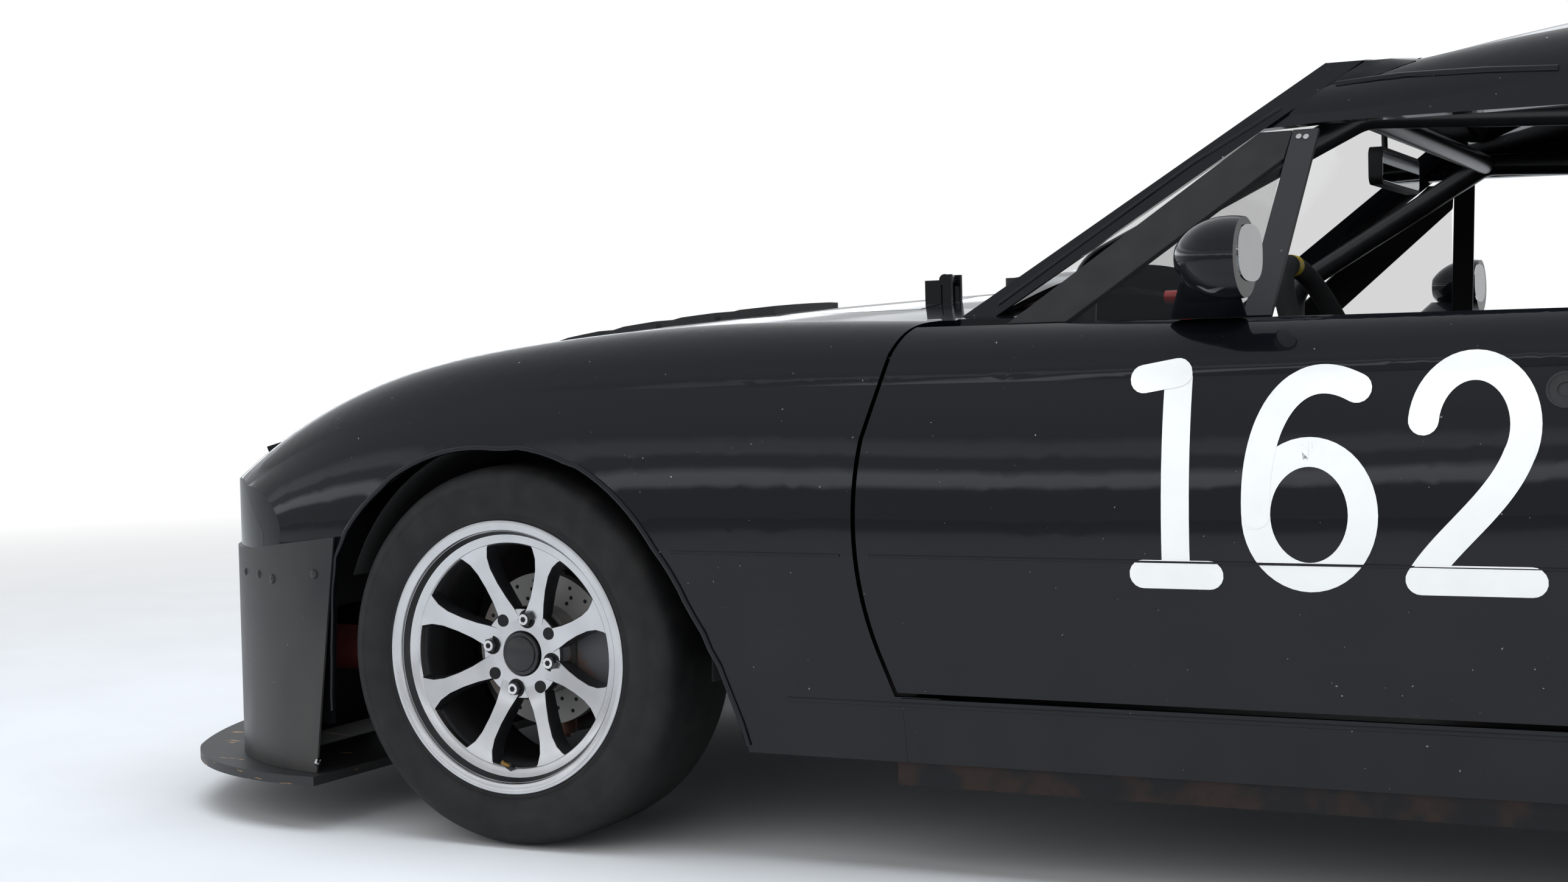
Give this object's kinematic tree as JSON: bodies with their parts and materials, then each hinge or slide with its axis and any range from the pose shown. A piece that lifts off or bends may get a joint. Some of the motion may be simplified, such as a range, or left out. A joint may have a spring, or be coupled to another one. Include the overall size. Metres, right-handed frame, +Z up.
{
  "type": "roadster",
  "caption": "Low two-seat track roadster with hard top, air dam, wooden splitter, louvred bonnet, spoked wheels and opening doors, lids and lamps.",
  "frame": {"origin": "on the ground, on the centre line, halfway between the splitter's tip and the tail", "axes": "+X forward, +Y to the car's left, +Z up"},
  "size_m": [4.0616, 1.835, 1.2067],
  "materials": {
    "black_paint": "gloss",
    "satin_sheet": "satin",
    "painted_wood": "satin",
    "clear_glass": "clear",
    "underbody": "satin",
    "grey_steel": "satin",
    "cage_paint": "satin",
    "black_plastic": "matte",
    "seat_cloth": "matte",
    "suede": "matte",
    "engine_alloy": "satin",
    "exhaust_steel": "satin",
    "lamp_red": "gloss",
    "red_hose": "matte",
    "tyre_rubber": "matte",
    "machined_alloy": "satin",
    "disc_iron": "satin"
  },
  "bodies": {
    "root": {"body_tub": "underbody", "fender_left": "black_paint", "fender_right": "black_paint", "quarter_left": "black_paint", "quarter_right": "black_paint", "front_bumper": "black_paint", "rear_bumper": "black_paint", "air_dam": "satin_sheet", "splitter": "painted_wood", "windscreen_frame": "black_paint", "windscreen_glass": "clear_glass", "hard_top": "black_paint", "rear_window": "clear_glass", "front_suspension": "grey_steel", "rear_suspension": "grey_steel", "roll_cage": "cage_paint", "dashboard": "black_plastic", "steering_column": "grey_steel", "driver_seat": "seat_cloth", "interior_mirror": "black_plastic", "engine_block": "engine_alloy", "radiator": "engine_alloy", "drivetrain": "grey_steel", "exhaust": "exhaust_steel", "tail_lamps": "lamp_red", "wipers": "black_plastic", "brake_ducts": "red_hose"},
    "door_left": {"door_left": "black_paint", "door_pane_left": "clear_glass", "mirror_left": "black_paint"},
    "door_right": {"door_right": "black_paint", "door_pane_right": "clear_glass", "mirror_right": "black_paint"},
    "bonnet": {"bonnet": "black_paint", "bonnet_vents": "black_plastic"},
    "boot": {"boot_lid": "black_paint"},
    "headlamp_left": {"headlamp_left": "black_paint"},
    "headlamp_right": {"headlamp_right": "black_paint"},
    "steering_wheel": {"steering_wheel": "suede"},
    "knuckle_left": {"knuckle_left": "grey_steel"},
    "knuckle_right": {"knuckle_right": "grey_steel"},
    "wheel_front_left": {"tyre_front_left": "tyre_rubber", "rim_front_left": "machined_alloy", "disc_front_left": "disc_iron"},
    "wheel_front_right": {"tyre_front_right": "tyre_rubber", "rim_front_right": "machined_alloy", "disc_front_right": "disc_iron"},
    "wheel_rear_left": {"tyre_rear_left": "tyre_rubber", "rim_rear_left": "machined_alloy", "disc_rear_left": "disc_iron"},
    "wheel_rear_right": {"tyre_rear_right": "tyre_rubber", "rim_rear_right": "machined_alloy", "disc_rear_right": "disc_iron"}
  },
  "joints": [
    {"name": "steering_wheel_turn", "type": "hinge", "parent": "root", "child": "steering_wheel", "pos_m": [-0.01, 0.37, 0.7], "axis": [-0.9272, 0, 0.3746], "range_deg": [-495, 495]},
    {"name": "steer_left", "type": "hinge", "parent": "root", "child": "knuckle_left", "pos_m": [1.137, 0.655, 0.29], "axis": [0, 0, 1], "range_deg": [-33, 33]},
    {"name": "steer_right", "type": "hinge", "parent": "root", "child": "knuckle_right", "pos_m": [1.137, -0.655, 0.29], "axis": [0, 0, 1], "range_deg": [-33, 33]},
    {"name": "spin_front_left", "type": "hinge", "parent": "knuckle_left", "child": "wheel_front_left", "pos_m": [1.137, 0.718, 0.29], "axis": [0, 1, 0], "continuous": true},
    {"name": "spin_front_right", "type": "hinge", "parent": "knuckle_right", "child": "wheel_front_right", "pos_m": [1.137, -0.718, 0.29], "axis": [0, 1, 0], "continuous": true},
    {"name": "spin_rear_left", "type": "hinge", "parent": "root", "child": "wheel_rear_left", "pos_m": [-1.128, 0.724, 0.29], "axis": [0, 1, 0], "continuous": true},
    {"name": "spin_rear_right", "type": "hinge", "parent": "root", "child": "wheel_rear_right", "pos_m": [-1.128, -0.724, 0.29], "axis": [0, 1, 0], "continuous": true},
    {"name": "door_left_swing", "type": "hinge", "parent": "root", "child": "door_left", "pos_m": [0.432, 0.775, 0.47], "axis": [0, 0, -1], "range_deg": [0, 65]},
    {"name": "door_right_swing", "type": "hinge", "parent": "root", "child": "door_right", "pos_m": [0.432, -0.775, 0.47], "axis": [0, 0, 1], "range_deg": [0, 65]},
    {"name": "bonnet_lift", "type": "hinge", "parent": "root", "child": "bonnet", "pos_m": [0.537, 0, 0.84184], "axis": [0, -1, 0], "range_deg": [0, 60]},
    {"name": "boot_lift", "type": "hinge", "parent": "root", "child": "boot", "pos_m": [-1.19, 0, 0.81875], "axis": [0, 1, 0], "range_deg": [0, 60]},
    {"name": "headlamp_left_lift", "type": "hinge", "parent": "root", "child": "headlamp_left", "pos_m": [1.607, 0.456, 0.65334], "axis": [0, -0.9961, 0.0877], "range_deg": [0, 60]},
    {"name": "headlamp_right_lift", "type": "hinge", "parent": "root", "child": "headlamp_right", "pos_m": [1.607, -0.456, 0.65334], "axis": [0, -0.9961, -0.0877], "range_deg": [0, 60]}
  ],
  "couplings": [
    {"joint": "steer_left", "follows": "steering_wheel_turn", "ratio": 0.066667},
    {"joint": "steer_right", "follows": "steering_wheel_turn", "ratio": 0.066667}
  ]
}
